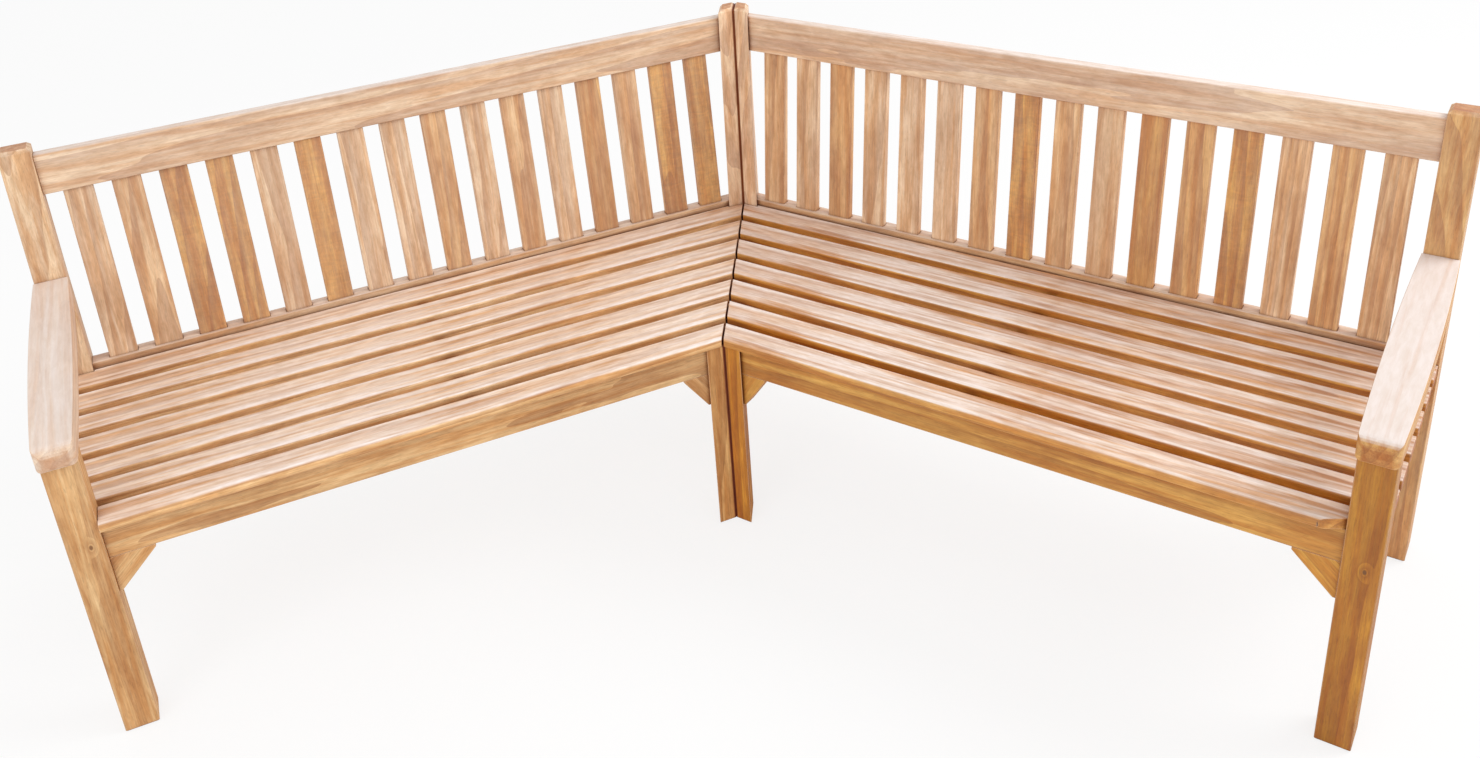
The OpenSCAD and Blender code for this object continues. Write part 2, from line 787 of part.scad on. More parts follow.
for (side = SIDES) {
    half(side) end_post();
    half(side) end_leg();
    half(side) arm();
    half(side) side_rail();
    half(side) side_bracket();
    half(side) corner_post();
    half(side) corner_leg();
    half(side) corner_bearer();
    half(side) mid_bearer();
    half(side) front_apron();
    half(side) apron_end_bracket();
    half(side) apron_corner_bracket();
    half(side) back_bottom_rail();
    half(side) back_top_rail();
    half(side) seat_screws();
    for (i = [1:seat_slat_count])
        half(side) seat_slat(i - 1, side);
    for (g = [1:back_group_count])
        half(side) back_slats(g);
}
corner_bolts();
corner_washers();
corner_nuts();
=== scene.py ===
# Corner bench in solid teak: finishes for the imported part, a plain studio and the photograph's view
import math
import random
import bpy
import numpy as np
from mathutils import Matrix, Vector

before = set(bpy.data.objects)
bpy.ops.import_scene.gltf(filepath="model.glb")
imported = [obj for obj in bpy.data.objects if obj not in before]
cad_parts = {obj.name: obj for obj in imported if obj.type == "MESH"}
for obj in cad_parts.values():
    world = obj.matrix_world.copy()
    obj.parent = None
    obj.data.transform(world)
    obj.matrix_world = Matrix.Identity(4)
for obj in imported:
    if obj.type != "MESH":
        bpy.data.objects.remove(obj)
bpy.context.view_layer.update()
print("frame loaded:", len(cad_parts), "nodes")

# Directions of the boards, as the part has them
bench = {
    "mitre": 29.0,          # degrees between the back of a half and the X axis
    "lean": 5.0,            # degrees of the back slats and the top rail from upright
    "armFall": 3.75,        # degrees that an arm drops towards its nose
    "bracketSlope": 44.0,   # degrees of the long edge of a bracket
    "cornerSlope": 56.0,    # the same for the brackets of the corner leg
}


def linear(hexColour):
    # sRGB hex to the linear colour that Blender's sockets hold
    part = np.array([int(hexColour[i:i + 2], 16) for i in (1, 3, 5)]) / 255
    part = np.where(part <= 0.04045, part / 12.92, ((part + 0.055) / 1.055) ** 2.4)
    return tuple(float(p) for p in part) + (1.0,)


def warm(shade):
    # A darker place in the wood is also a warmer one: its blue falls faster than its red
    return shade ** 0.8, shade ** 1.15, shade ** 1.6


def addNode(tree, kind, sockets=None, **settings):
    # One node: settings are its own properties, sockets take links or plain values
    node = tree.nodes.new(kind)
    for name, value in settings.items():
        setattr(node, name, value)
    for name, value in (sockets or {}).items():
        if isinstance(value, bpy.types.NodeSocket):
            tree.links.new(value, node.inputs[name])
        else:
            node.inputs[name].default_value = value
    return node


def newMaterial(name):
    material = bpy.data.materials.new(name)
    material.use_nodes = True
    material.node_tree.nodes.clear()
    return material


def halfAxes(side):
    # Along the back, backwards and up, for one half of the bench
    turn = math.radians(bench["mitre"])
    flip = 1 if side == "right" else -1
    along = Vector((flip * math.cos(turn), -math.sin(turn), 0))
    backwards = Vector((flip * math.sin(turn), math.cos(turn), 0))
    return along, backwards, Vector((0, 0, 1))


def boardAxes(stem, side):
    # Grain, width and thickness of a board; the grain runs along each piece
    along, backwards, up = halfAxes(side)
    lean, drop, slope, steep = (
        math.radians(bench[key]) for key in ("lean", "armFall", "bracketSlope", "cornerSlope"))
    leaning = up * math.cos(lean) + backwards * math.sin(lean)
    falling = backwards * math.cos(drop) + up * math.sin(drop)
    grain, width = {
        "end_post": (up, along), "corner_post": (up, along),
        "end_leg": (up, along), "corner_leg": (up, along),
        "arm": (falling, along),
        "side_rail": (backwards, up), "mid_bearer": (backwards, up),
        "corner_bearer": (Vector((0, 1, 0)), up),
        "front_apron": (along, up), "back_bottom_rail": (along, up),
        "back_top_rail": (along, leaning),
        "seat_slat": (along, backwards),
        "back_slats": (leaning, along),
        "apron_end_bracket": (up * math.sin(slope) - along * math.cos(slope), along),
        "apron_corner_bracket": (up * math.sin(steep) + along * math.cos(steep), along),
        "side_bracket": (up * math.sin(slope) + backwards * math.cos(slope), up),
    }[stem]
    depth = grain.cross(width).normalized()
    return grain, depth.cross(grain), depth


def boardBox(obj, axes):
    # Least and greatest reach of a piece along its board axes
    flat = np.empty(len(obj.data.vertices) * 3)
    obj.data.vertices.foreach_get("co", flat)
    reach = flat.reshape(-1, 3) @ np.array(axes).T
    return reach.min(axis=0), reach.max(axis=0)


# Oiled teak, planed and sanded: straw to golden brown, with a satin sheen
teak = {
    "pale": "#F1D4AF",
    "middle": "#DBAA76",
    "dark": "#A1642E",              # the late wood of a ring
    "edgeTint": "#F2DCA2",          # painted shade on the narrow faces between two slats
    "endTint": "#CF9E6C",           # end grain drinks more oil
    "roughness": (0.46, 0.64),
    "ior": 1.5,
    "bumpStrength": 0.5,
    "bumpHeight": 0.35,             # mm
}
# Growth rings about a pith beside the board; it leans a little, so they show as long arches
ringFigure = {
    "pitch": 15.0,                  # mm; real rings are 3 to 6, drawn wider so that they show
    "stretch": (0.12, 1, 1),        # along the grain, across it and into the board
    "start": (2, 60),               # along the stretched figure, so that no two boards are alike
    "pithSide": (-0.05, 0.05),      # metres to the side of the board's middle
    "pithDepth": (0.03, 0.12),      # metres from it through the thickness
    "pithLean": (-14, 14),          # degrees in the stretched figure, under 2 in the board
    "distortion": 8.0, "detail": 2.5, "detailScale": 0.6, "detailRoughness": 0.55,
    "range": (0.1, 1.0),            # the part of a ring that darkens
}
# Marks in the grain: size across it in mm, stretch as above, the part of the noise that is used,
# and what the colour is multiplied by at the two ends of that part
grainFigure = {
    "streaks": {"size": 15.0, "stretch": (0.05, 1, 1), "range": (0.34, 0.66),
                "detail": 3.0, "roughness": 0.6, "distortion": 0.5},
    # Real fibres are about 0.3 mm wide and real vessels 0.25, both too fine to show
    "fibres": {"size": 2.6, "stretch": (0.03, 1, 1), "range": (0.3, 0.7),
               "shade": (warm(0.84), warm(1.08)),
               "detail": 2.0, "roughness": 0.6, "distortion": 0.0},
    "flecks": {"size": 1.2, "stretch": (0.08, 1, 1), "range": (0.58, 0.7),
               "shade": ((1.0, 1.0, 1.0), (0.8, 0.8, 0.8)),
               "detail": 1.0, "roughness": 0.5, "distortion": 0.0},
    "blotches": {"size": 45.0, "stretch": (0.33, 1, 1), "range": (0.32, 0.68),
                 "shade": (warm(0.8), warm(1.1)),
                 "detail": 3.0, "roughness": 0.5, "distortion": 0.6},
    # How dark and how pale the mottles are is each board's own
    "mottles": {"size": 9.0, "stretch": (0.25, 1, 1), "range": (0.34, 0.66),
                "detail": 3.0, "roughness": 0.65, "distortion": 0.4},
    # The wavy cross figure of a few back slats
    "ripples": {"size": 26.0, "stretch": (2.2, 0.7, 0.7), "range": (0.35, 0.65),
                "shade": (0.72, 1.08),
                "detail": 2.0, "roughness": 0.5, "distortion": 1.5},
}
# What a board looks like where the two dictionaries below say nothing else
plainLook = {
    "brown": "#E9C462",             # what a wholly brown board is multiplied by
    "sun": "#EBDDD5",               # what the sun turns the wood to
    "faded": 0.0,                   # the colour of the painted light on faces that look up
    "streaky": (1.15, 0.7),         # the painted light's share is multiplied by this along the streaks
    "sunStreaks": (0.32, 0.68),     # the part of the streaks' noise that does so
    "oily": 0.0,                    # how much painted shade the narrow faces get
    "endGrain": 0.75,               # how much the end grain shows
    "mottle": (0.88, 1.08),         # how dark and how pale the mottles are
    "rings": 0.46,                  # how strong the rings are
    "shade": 1.0,                   # how light the board is as a whole; it also paints the light and shade that fall on that board
    "shelter": 0.014,               # metres from a neighbour within which painted shade falls
    "seam": 0.0,                    # mm from the mitre that are dark
}
# Each part of the bench: tone is pale 0 to brown 1, past both ends where some boards are wholly
# pale or brown, and the share for faces that look up is the painted light laid on them
boardLook = {
    "end_post": {"tone": (0.1, 0.25), "bleach": 0.4, "faded": 0.1},
    # The corner posts are lighter than their wood: painted light in the corner
    "corner_post": {"tone": (0.05, 0.2), "bleach": 0.3, "faded": 0.2, "seam": 4.0, "shade": 1.12},
    "end_leg": {"tone": (0.45, 0.55), "bleach": 0.3, "rings": 0.3, "shade": 0.95},
    "corner_leg": {"tone": (0.6, 0.75), "bleach": 0.2, "seam": 4.0, "shade": 1.07},
    "arm": {"tone": (0.1, 0.2), "bleach": 0.8, "faded": 0.4, "streaky": (1.15, 0.75),
            "sun": "#E8DBD4", "endGrain": 0.5, "mottle": (0.94, 1.03), "rings": 0.3},
    "side_rail": {"tone": (0.6, 0.8), "bleach": 0.2},
    "mid_bearer": {"tone": (0.5, 0.7), "bleach": 0.2},
    "corner_bearer": {"tone": (0.5, 0.7), "bleach": 0.2},
    "front_apron": {"tone": (0.4, 0.5), "bleach": 0.3, "shade": 0.96},
    "back_bottom_rail": {"tone": (0.2, 0.4), "bleach": 0.55, "faded": 0.15},
    "back_top_rail": {"tone": (0.05, 0.2), "bleach": 0.85, "faded": 0.25},
    "seat_slat": {"tone": (0.15, 0.4), "bleach": 0.48, "streaky": (1.75, 0.25),
                  "oily": 0.25, "shelter": 0.027, "seam": 3.0, "shade": 1.1},
    "back_slats": {"tone": (-0.2, 1.15), "bleach": 0.3, "faded": 0.18, "shade": 1.03},
    "apron_end_bracket": {"tone": (0.4, 0.5), "bleach": 0.2},
    "apron_corner_bracket": {"tone": (0.4, 0.5), "bleach": 0.2},
    "side_bracket": {"tone": (0.4, 0.5), "bleach": 0.2},
}
# The right half has browner boards and painted shade, darkest on its end leg; its arm gets more
# painted light
rightLook = {
    "end_post": {"tone": (0.75, 0.85)},
    "corner_post": {"tone": (0.05, 0.15)},
    # The right legs are darker and browner than their wood: painted shade
    "end_leg": {"tone": (1.0, 1.0), "rings": 0.4, "shade": 0.74, "brown": "#E9B84C"},
    "corner_leg": {"tone": (1.0, 1.0), "shade": 0.9, "brown": "#E9B64A"},
    "arm": {"tone": (0.75, 0.85), "bleach": 1.1, "faded": 0.0, "endGrain": 0.65, "shade": 0.97},
    "side_rail": {"tone": (0.8, 1.0)},
    "front_apron": {"tone": (0.85, 0.95), "shade": 0.94},
    "back_bottom_rail": {"tone": (0.5, 0.7)},
    "back_top_rail": {"tone": (0.2, 0.3), "faded": 0.3, "shade": 1.05},
    "seat_slat": {"tone": (0.65, 0.95), "bleach": 0.62, "oily": 0.7, "shade": 1.07},
    "back_slats": {"tone": (-0.15, 1.4), "faded": 0.13, "shade": 1.1},
    "apron_end_bracket": {"tone": (0.9, 1.0)},
    "apron_corner_bracket": {"tone": (0.9, 1.0)},
    "side_bracket": {"tone": (0.9, 1.0)},
}
# Between which values the painted light on the tops, the painted shade on the narrow faces and
# the end grain come in or fade out: how far a face's normal points up, or along the grain
facing = {"sun": (0.6, 0.98), "oil": (0.2, 0.8), "end": (0.75, 0.97)}
# A painted highlight along the front edge of a seat slat's top: metres from the edge where it
# starts and where it is full, and what it adds to the share of painted light
frontHighlightBand = {"width": 0.014, "full": 0.003, "share": 0.3}
# Rubbed edges, paler also by a painted highlight: metres within which an edge is felt, how far
# two normals agree where the paler edge starts and where it is full, and how pale it gets
wearAndHighlight = {"colour": "#F7E3CB", "reach": 0.003, "turn": (0.98, 0.8), "share": 0.4, "samples": 4}
# Painted shade near a neighbour, and the dark seam at the mitre: how open a place is where the
# shade starts and where it is darkest
shadeAndGrime = {"colour": "#8C5220", "open": (0.7, 0.2), "share": 0.9, "samples": 6}
# Small knots: height above the floor, place across the board and radius, in mm
knots = {
    "end_leg_right": (359, 6, 3),
    "end_leg_left": (393, -8, 3),
}
knotLook = {
    "colour": "#7A4C26", "share": 0.9,
    "oval": (0.6, 1, 0),            # longer along the grain
    "core": (0.6, 1.3),             # radii between which its dark fades out
    "reach": 5.0,                   # radii within which the rings bend round it
    "bend": 0.02,                   # metres
}
# The back slats of one group, each with a lot of its own that gives its tone and its figure
slatGroup = {
    "width": 0.052,                 # metres, of one slat
    "count": 4,
    "start": (5, 90),               # where a group's lots start
    "shift": (4.0, 0.11, 0.06),     # metres that the greatest lot moves the figure
    "wavyFrom": (0.8, 0.88),        # lots between which a slat turns wavy
    "wavy": 0.5,                    # how wavy it then is
}


def slatSpace(tree, board, groupWidth, start):
    # Each slat of a group is its own board: its number draws a lot for its figure and its tone
    pitch = (groupWidth - slatGroup["width"]) / (slatGroup["count"] - 1)
    split = addNode(tree, "ShaderNodeSeparateXYZ", {"Vector": board})
    across = addNode(tree, "ShaderNodeMath", {0: split.outputs["Y"], 1: pitch, 2: 0.0},
                     operation="WRAP")
    centred = addNode(tree, "ShaderNodeMath", {0: across.outputs[0], 1: pitch / 2},
                      operation="SUBTRACT")
    share = addNode(tree, "ShaderNodeMath", {0: split.outputs["Y"], 1: pitch},
                    operation="DIVIDE")
    number = addNode(tree, "ShaderNodeMath", {0: share.outputs[0]}, operation="FLOOR")
    started = addNode(tree, "ShaderNodeMath", {0: number.outputs[0], 1: start}, operation="ADD")
    lot = addNode(tree, "ShaderNodeTexWhiteNoise", {"W": started.outputs[0]},
                  noise_dimensions="1D")
    own = addNode(tree, "ShaderNodeCombineXYZ", {
        "X": split.outputs["X"], "Y": centred.outputs[0], "Z": split.outputs["Z"],
    })
    shifted = addNode(tree, "ShaderNodeVectorMath", {
        0: lot.outputs["Color"], 1: slatGroup["shift"], 2: own.outputs[0],
    }, operation="MULTIPLY_ADD")
    return shifted.outputs[0], lot.outputs["Value"]


def roundKnot(tree, board, ringSpace, knot, boardHeight):
    # The rings bend round a knot, which is nearly black at its middle
    height, side, radius = (size / 1000 for size in knot)
    offset = addNode(tree, "ShaderNodeVectorMath", {
        0: board, 1: (height - boardHeight, side, 0),
    }, operation="SUBTRACT")
    oval = addNode(tree, "ShaderNodeVectorMath", {0: offset.outputs[0], 1: knotLook["oval"]},
                   operation="MULTIPLY")
    away = addNode(tree, "ShaderNodeVectorMath", {0: oval.outputs[0]}, operation="LENGTH")
    bend = addNode(tree, "ShaderNodeMapRange", {
        "Value": away.outputs["Value"], "From Max": radius * knotLook["reach"],
        "To Min": knotLook["bend"], "To Max": 0.0,
    }, interpolation_type="SMOOTHSTEP")
    core, edge = knotLook["core"]
    dark = addNode(tree, "ShaderNodeMapRange", {
        "Value": away.outputs["Value"], "From Min": radius * core, "From Max": radius * edge,
        "To Min": knotLook["share"], "To Max": 0.0,
    }, interpolation_type="SMOOTHSTEP")
    bent = addNode(tree, "ShaderNodeCombineXYZ", {"Z": bend.outputs["Result"]})
    moved = addNode(tree, "ShaderNodeVectorMath", {0: ringSpace, 1: bent.outputs[0]},
                    operation="ADD")
    return moved.outputs[0], dark.outputs["Result"]


def paintedLightShare(tree, look, upward, streaks, frontHighlight):
    # Share of painted light: most on what looks up, in streaks; the last argument is the painted
    # highlight along a seat slat's front edge
    bleach = addNode(tree, "ShaderNodeMapRange", {
        "Value": upward, "From Min": facing["sun"][0], "From Max": facing["sun"][1],
        "To Min": look["faded"], "To Max": look["bleach"] if frontHighlight is None else frontHighlight,
    }, interpolation_type="SMOOTHSTEP")
    patchy = addNode(tree, "ShaderNodeMapRange", {
        "Value": streaks, "From Min": look["sunStreaks"][0], "From Max": look["sunStreaks"][1],
        "To Min": look["streaky"][0], "To Max": look["streaky"][1],
    })
    share = addNode(tree, "ShaderNodeMath", {
        0: bleach.outputs["Result"], 1: patchy.outputs["Result"],
    }, operation="MULTIPLY", use_clamp=True)
    return share.outputs[0]


def shadeAndGrimeShare(tree, look, place):
    # Painted shade where a neighbour is close, and the seam between the two halves is dark
    shelter = addNode(tree, "ShaderNodeAmbientOcclusion", {"Distance": look["shelter"]},
                      samples=shadeAndGrime["samples"])
    share = addNode(tree, "ShaderNodeMapRange", {
        "Value": shelter.outputs["AO"], "From Min": shadeAndGrime["open"][0],
        "From Max": shadeAndGrime["open"][1], "To Max": shadeAndGrime["share"],
    }).outputs["Result"]
    if look["seam"]:
        seam = addNode(tree, "ShaderNodeSeparateXYZ", {"Vector": place})
        fromSeam = addNode(tree, "ShaderNodeMath", {0: seam.outputs["X"]}, operation="ABSOLUTE")
        reach = look["seam"] / 1000
        seamShare = addNode(tree, "ShaderNodeMapRange", {
            "Value": fromSeam.outputs[0], "From Min": reach, "From Max": reach / 2,
        }, interpolation_type="SMOOTHSTEP")
        share = addNode(tree, "ShaderNodeMath", {0: share, 1: seamShare.outputs["Result"]},
                        operation="MAXIMUM").outputs[0]
    return share


def teakMaterial(name, stem, obj, axes, dice):
    # Growth rings about a pith beside the board, fibres, flecks and streaks along the grain
    look = plainLook | boardLook[stem]
    if name.endswith("right"):
        look |= rightLook.get(stem, {})
    material = newMaterial("oiled teak planed " + name.replace("_", " "))
    tree = material.node_tree
    low, high = boardBox(obj, axes)
    centre = Matrix(axes).transposed() @ Vector((low + high) / 2)
    turn = Matrix(axes).transposed().to_euler("XYZ")

    coords = addNode(tree, "ShaderNodeTexCoord")
    place = addNode(tree, "ShaderNodeMapping", {
        "Vector": coords.outputs["Object"], "Location": centre, "Rotation": turn,
    }, vector_type="TEXTURE")
    board = place.outputs["Vector"]
    toneLow, toneHigh = look["tone"]
    if stem == "back_slats":
        start = dice.uniform(*slatGroup["start"])
        board, lot = slatSpace(tree, board, high[1] - low[1], start)
        tone = addNode(tree, "ShaderNodeMapRange", {
            "Value": lot, "To Min": toneLow, "To Max": toneHigh,
        }).outputs["Result"]
    else:
        tone = dice.uniform(toneLow, toneHigh)

    # The marks of the grain, and the rings
    marks = {}
    for kind, figure in grainFigure.items():
        if kind == "ripples" and stem != "back_slats":
            continue
        drawnOut = addNode(tree, "ShaderNodeVectorMath", {0: board, 1: figure["stretch"]},
                           operation="MULTIPLY")
        marks[kind] = addNode(tree, "ShaderNodeTexNoise", {
            "Vector": drawnOut.outputs[0], "Scale": 1000 / figure["size"],
            "Detail": figure["detail"], "Roughness": figure["roughness"],
            "Distortion": figure["distortion"],
        }).outputs["Fac"]
    along, aside, behind, tip, swing = (dice.uniform(*ringFigure[key]) for key in (
        "start", "pithSide", "pithDepth", "pithLean", "pithLean"))
    ringSpace = addNode(tree, "ShaderNodeMapping", {
        "Vector": board, "Location": (along, aside, behind),
        "Rotation": (0, math.radians(tip), math.radians(swing)), "Scale": ringFigure["stretch"],
    }).outputs["Vector"]
    if name in knots:
        ringSpace, knotDark = roundKnot(tree, board, ringSpace, knots[name], centre.z)
    rings = addNode(tree, "ShaderNodeTexWave", {
        # The texture's phase is 20 times its scale for each metre
        "Vector": ringSpace, "Scale": 2 * math.pi / 20 / (ringFigure["pitch"] / 1000),
        "Distortion": ringFigure["distortion"], "Detail": ringFigure["detail"],
        "Detail Scale": ringFigure["detailScale"],
        "Detail Roughness": ringFigure["detailRoughness"],
    }, wave_type="RINGS", rings_direction="X", wave_profile="SAW")
    ringLine = addNode(tree, "ShaderNodeMapRange", {
        "Value": rings.outputs["Fac"], "From Min": ringFigure["range"][0],
        "From Max": ringFigure["range"][1], "To Max": look["rings"],
    }, interpolation_type="SMOOTHSTEP")

    # Colour, from the broad streaks down to the flecks
    streakShare = addNode(tree, "ShaderNodeMapRange", {
        "Value": marks["streaks"], "From Min": grainFigure["streaks"]["range"][0],
        "From Max": grainFigure["streaks"]["range"][1],
    }, interpolation_type="SMOOTHSTEP")
    base = addNode(tree, "ShaderNodeMix", {
        0: streakShare.outputs["Result"], 6: linear(teak["pale"]), 7: linear(teak["middle"]),
    }, data_type="RGBA")
    colour = addNode(tree, "ShaderNodeMix", {
        0: ringLine.outputs["Result"], 6: base.outputs[2], 7: linear(teak["dark"]),
    }, data_type="RGBA").outputs[2]
    for kind in ("fibres", "flecks", "blotches"):
        figure = grainFigure[kind]
        shade = addNode(tree, "ShaderNodeMapRange", {
            6: marks[kind], 7: (figure["range"][0],) * 3, 8: (figure["range"][1],) * 3,
            9: figure["shade"][0], 10: figure["shade"][1],
        }, data_type="FLOAT_VECTOR")
        colour = addNode(tree, "ShaderNodeMix", {
            0: 1.0, 6: colour, 7: shade.outputs["Vector"],
        }, data_type="RGBA", blend_type="MULTIPLY").outputs[2]
    if stem == "back_slats":
        # A few slats have a wavy figure across the grain
        figure = grainFigure["ripples"]
        chosen = addNode(tree, "ShaderNodeMapRange", {
            "Value": lot, "From Min": slatGroup["wavyFrom"][0],
            "From Max": slatGroup["wavyFrom"][1], "To Max": slatGroup["wavy"],
        })
        rippleShade = addNode(tree, "ShaderNodeMapRange", {
            "Value": marks["ripples"], "From Min": figure["range"][0],
            "From Max": figure["range"][1], "To Min": figure["shade"][0],
            "To Max": figure["shade"][1],
        })
        colour = addNode(tree, "ShaderNodeMix", {
            0: chosen.outputs["Result"], 6: colour, 7: rippleShade.outputs["Result"],
        }, data_type="RGBA", blend_type="MULTIPLY").outputs[2]
    colour = addNode(tree, "ShaderNodeMix", {
        0: tone, 6: colour, 7: linear(look["brown"]),
    }, data_type="RGBA", blend_type="MULTIPLY").outputs[2]
    if name in knots:
        colour = addNode(tree, "ShaderNodeMix", {
            0: knotDark, 6: colour, 7: linear(knotLook["colour"]),
        }, data_type="RGBA").outputs[2]

    # Narrow faces get painted shade, faces that look up get painted light in streaks,
    # end grain is darker
    surface = addNode(tree, "ShaderNodeNewGeometry")
    upward = addNode(tree, "ShaderNodeSeparateXYZ", {"Vector": surface.outputs["Normal"]})
    if look["oily"]:
        oil = addNode(tree, "ShaderNodeMapRange", {
            "Value": upward.outputs["Z"], "From Min": facing["oil"][0],
            "From Max": facing["oil"][1], "To Min": look["oily"], "To Max": 0.0,
        })
        colour = addNode(tree, "ShaderNodeMix", {
            0: oil.outputs["Result"], 6: colour, 7: linear(teak["edgeTint"]),
        }, data_type="RGBA", blend_type="MULTIPLY").outputs[2]
    # Painted highlight along the front edge of each seat slat's top
    frontHighlight = None
    if stem == "seat_slat":
        acrossSlat = addNode(tree, "ShaderNodeSeparateXYZ", {"Vector": board})
        front = (low[1] - high[1]) / 2
        frontHighlight = addNode(tree, "ShaderNodeMapRange", {
            "Value": acrossSlat.outputs["Y"], "From Min": front + frontHighlightBand["width"],
            "From Max": front + frontHighlightBand["full"], "To Min": look["bleach"],
            "To Max": look["bleach"] + frontHighlightBand["share"],
        }, interpolation_type="SMOOTHSTEP").outputs["Result"]
    topLit = addNode(tree, "ShaderNodeMix", {
        0: paintedLightShare(tree, look, upward.outputs["Z"], marks["streaks"], frontHighlight),
        6: colour, 7: linear(look["sun"]),
    }, data_type="RGBA")
    # The board's lightness, with the painted light and shade set for it, rides on the mottles
    darkMottle, paleMottle = (look["shade"] * Vector(warm(m)) for m in look["mottle"])
    mottleLow, mottleHigh = grainFigure["mottles"]["range"]
    mottleShade = addNode(tree, "ShaderNodeMapRange", {
        6: marks["mottles"], 7: (mottleLow,) * 3, 8: (mottleHigh,) * 3,
        9: darkMottle, 10: paleMottle,
    }, data_type="FLOAT_VECTOR")
    mottled = addNode(tree, "ShaderNodeMix", {
        0: 1.0, 6: topLit.outputs[2], 7: mottleShade.outputs["Vector"],
    }, data_type="RGBA", blend_type="MULTIPLY")
    alongGrain = addNode(tree, "ShaderNodeVectorMath", {
        0: surface.outputs["Normal"], 1: axes[0],
    }, operation="DOT_PRODUCT")
    endOn = addNode(tree, "ShaderNodeMath", {0: alongGrain.outputs["Value"]},
                    operation="ABSOLUTE")
    endShare = addNode(tree, "ShaderNodeMapRange", {
        "Value": endOn.outputs[0], "From Min": facing["end"][0], "From Max": facing["end"][1],
        "To Max": look["endGrain"],
    }, interpolation_type="SMOOTHSTEP")
    ended = addNode(tree, "ShaderNodeMix", {
        0: endShare.outputs["Result"], 6: mottled.outputs[2], 7: linear(teak["endTint"]),
    }, data_type="RGBA", blend_type="MULTIPLY")

    # Rubbed edges are paler, with a painted highlight, and painted shade falls near a neighbour
    rounded = addNode(tree, "ShaderNodeBevel", {"Radius": wearAndHighlight["reach"]}, samples=wearAndHighlight["samples"])
    sameWay = addNode(tree, "ShaderNodeVectorMath", {
        0: rounded.outputs["Normal"], 1: surface.outputs["Normal"],
    }, operation="DOT_PRODUCT")
    wearAndHighlightShare = addNode(tree, "ShaderNodeMapRange", {
        "Value": sameWay.outputs["Value"], "From Min": wearAndHighlight["turn"][0],
        "From Max": wearAndHighlight["turn"][1], "To Max": wearAndHighlight["share"],
    })
    wornAndLit = addNode(tree, "ShaderNodeMix", {
        0: wearAndHighlightShare.outputs["Result"], 6: ended.outputs[2], 7: linear(wearAndHighlight["colour"]),
    }, data_type="RGBA")
    shadedAndGrimed = addNode(tree, "ShaderNodeMix", {
        0: shadeAndGrimeShare(tree, look, coords.outputs["Object"]),
        6: wornAndLit.outputs[2], 7: linear(shadeAndGrime["colour"]),
    }, data_type="RGBA", blend_type="MULTIPLY")

    fibreLow, fibreHigh = grainFigure["fibres"]["range"]
    roughness = addNode(tree, "ShaderNodeMapRange", {
        "Value": marks["fibres"], "From Min": fibreLow, "From Max": fibreHigh,
        "To Min": teak["roughness"][0], "To Max": teak["roughness"][1],
    })
    relief = addNode(tree, "ShaderNodeMath", {
        0: ringLine.outputs["Result"], 1: -1.0, 2: marks["fibres"],
    }, operation="MULTIPLY_ADD")
    bump = addNode(tree, "ShaderNodeBump", {
        "Height": relief.outputs[0], "Strength": teak["bumpStrength"],
        "Distance": teak["bumpHeight"] / 1000,
    })
    shader = addNode(tree, "ShaderNodeBsdfPrincipled", {
        "Base Color": shadedAndGrimed.outputs[2], "Roughness": roughness.outputs["Result"],
        "Normal": bump.outputs["Normal"], "IOR": teak["ior"],
    })
    addNode(tree, "ShaderNodeOutputMaterial", {"Surface": shader.outputs["BSDF"]})
    return material


# Stainless steel, drawn and turned: grey, satin, with fine marks round the shank
steel = {
    "colour": "#B4B6B8", "dull": "#8E9092",
    "roughness": (0.25, 0.45),
    "markWidth": 0.5, "markDepth": 0.2,     # mm
    "markStrength": 0.2,
    "dullScale": 180.0,                     # a duller patch every 5 or 6 mm
}


def steelMaterial(name):
    material = newMaterial("stainless steel turned " + name.replace("_", " "))
    tree = material.node_tree
    coords = addNode(tree, "ShaderNodeTexCoord")
    marks = addNode(tree, "ShaderNodeTexNoise", {
        "Vector": coords.outputs["Object"], "Scale": 1000 / steel["markWidth"], "Detail": 2.0,
    })
    tarnish = addNode(tree, "ShaderNodeTexNoise", {
        "Vector": coords.outputs["Object"], "Scale": steel["dullScale"], "Detail": 3.0,
    })
    colour = addNode(tree, "ShaderNodeMix", {
        0: tarnish.outputs["Fac"], 6: linear(steel["colour"]), 7: linear(steel["dull"]),
    }, data_type="RGBA")
    roughness = addNode(tree, "ShaderNodeMapRange", {
        "Value": marks.outputs["Fac"], "To Min": steel["roughness"][0],
        "To Max": steel["roughness"][1],
    })
    bump = addNode(tree, "ShaderNodeBump", {
        "Height": marks.outputs["Fac"], "Strength": steel["markStrength"],
        "Distance": steel["markDepth"] / 1000,
    })
    shader = addNode(tree, "ShaderNodeBsdfPrincipled", {
        "Base Color": colour.outputs[2], "Roughness": roughness.outputs["Result"],
        "Metallic": 1.0, "Normal": bump.outputs["Normal"],
    })
    addNode(tree, "ShaderNodeOutputMaterial", {"Surface": shader.outputs["BSDF"]})
    return material


# Sanded arrises: width and welding distance in mm, and the least turn of an edge in degrees
arris = {"width": 1.1, "segments": 2, "weld": 0.01, "leastTurn": 32}


